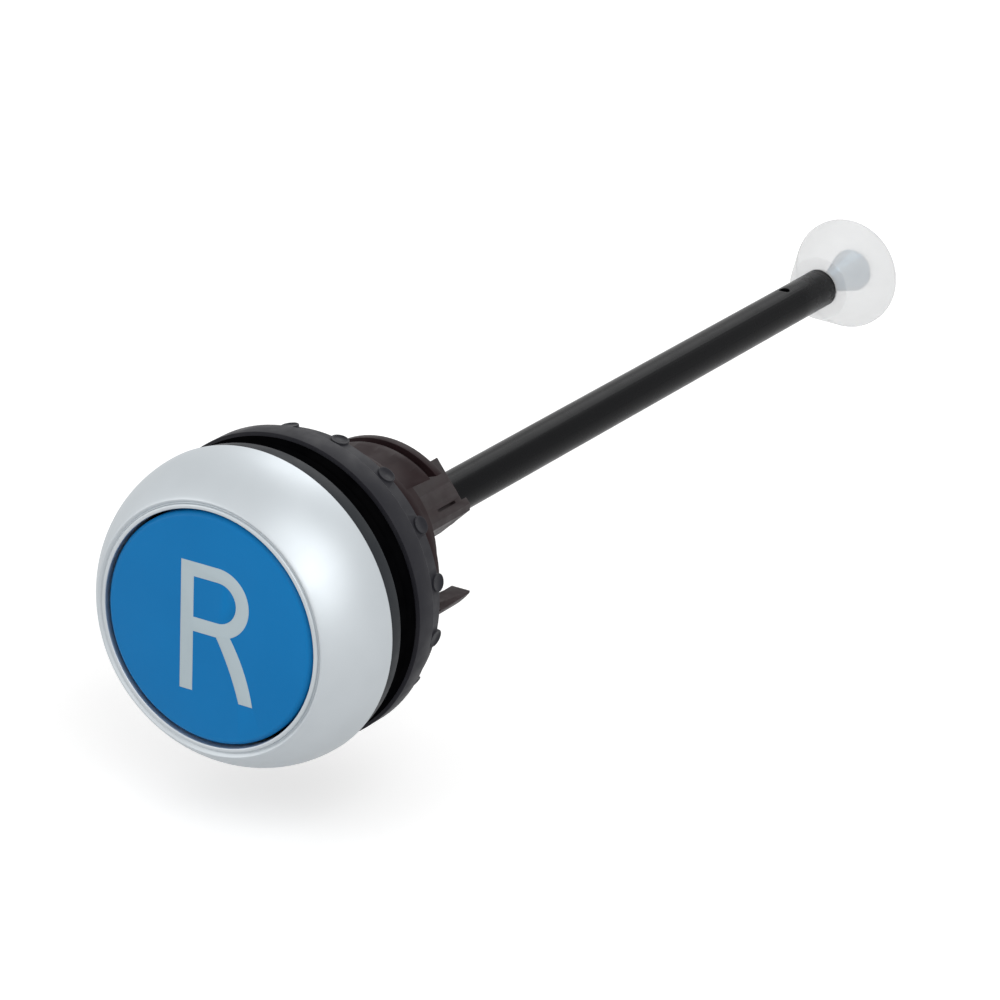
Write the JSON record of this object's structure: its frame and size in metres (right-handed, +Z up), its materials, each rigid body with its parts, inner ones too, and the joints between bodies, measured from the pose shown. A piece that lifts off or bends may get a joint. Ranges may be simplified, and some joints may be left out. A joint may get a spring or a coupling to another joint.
{
  "type": "pushbutton operator",
  "caption": "Flush round reset pushbutton operator for a panel hole, with a domed metal bezel, ring nut, long push rod and clear conical foot.",
  "frame": {"origin": "on the button's axis, at the face of the seal that meets the panel's front", "axes": "+Y along the axis into the panel, from the button to the foot; +Z up, the top of the letter; +X to the letter's right"},
  "size_m": [0.0296, 0.1255, 0.0296],
  "materials": {
    "satin_metal": "fine satin blasted metal",
    "dark_grey_plastic": "matt moulded, fine texture",
    "nut_grey_plastic": "matt moulded, fine texture",
    "black_rubber": "matt rubber",
    "brown_black_plastic": "satin moulded",
    "brown_grey_plastic": "satin moulded",
    "blue_plastic": "semi gloss moulded",
    "grey_plastic": "semi gloss moulded",
    "black_rod": "gloss black",
    "zinc_steel": "blue passivated zinc",
    "steel": "bright steel",
    "clear_plastic": "milky translucent moulded plastic"
  },
  "bodies": {
    "housing": {"operator_body": "dark_grey_plastic", "front_bezel": "satin_metal", "panel_seal": "black_rubber", "wiper_seal": "black_rubber", "seal_washer": "steel", "return_spring": "steel", "spring_washer": "steel", "plunger_guide": "brown_black_plastic", "guide_snap_ring": "steel"},
    "button": {"button_plate": "blue_plastic", "reset_letter": "grey_plastic", "plunger": "brown_black_plastic", "rod_clutch": "brown_grey_plastic", "clutch_pin": "steel", "push_rod": "black_rod", "foot_stud": "zinc_steel", "foot_pin": "steel", "push_foot": "clear_plastic"},
    "nut": {"ring_nut": "nut_grey_plastic"}
  },
  "joints": [
    {"name": "button_press", "type": "slide", "parent": "housing", "child": "button", "axis": [0, 1, 0], "range_m": [0, 0.0057], "stiffness_N_per_m": 500, "springref_m": -0.004, "deforming": ["return_spring"]},
    {"name": "nut_turn", "type": "hinge", "parent": "housing", "child": "nut", "pos_m": [0, 0, 0], "axis": [0, 1, 0], "continuous": true}
  ]
}
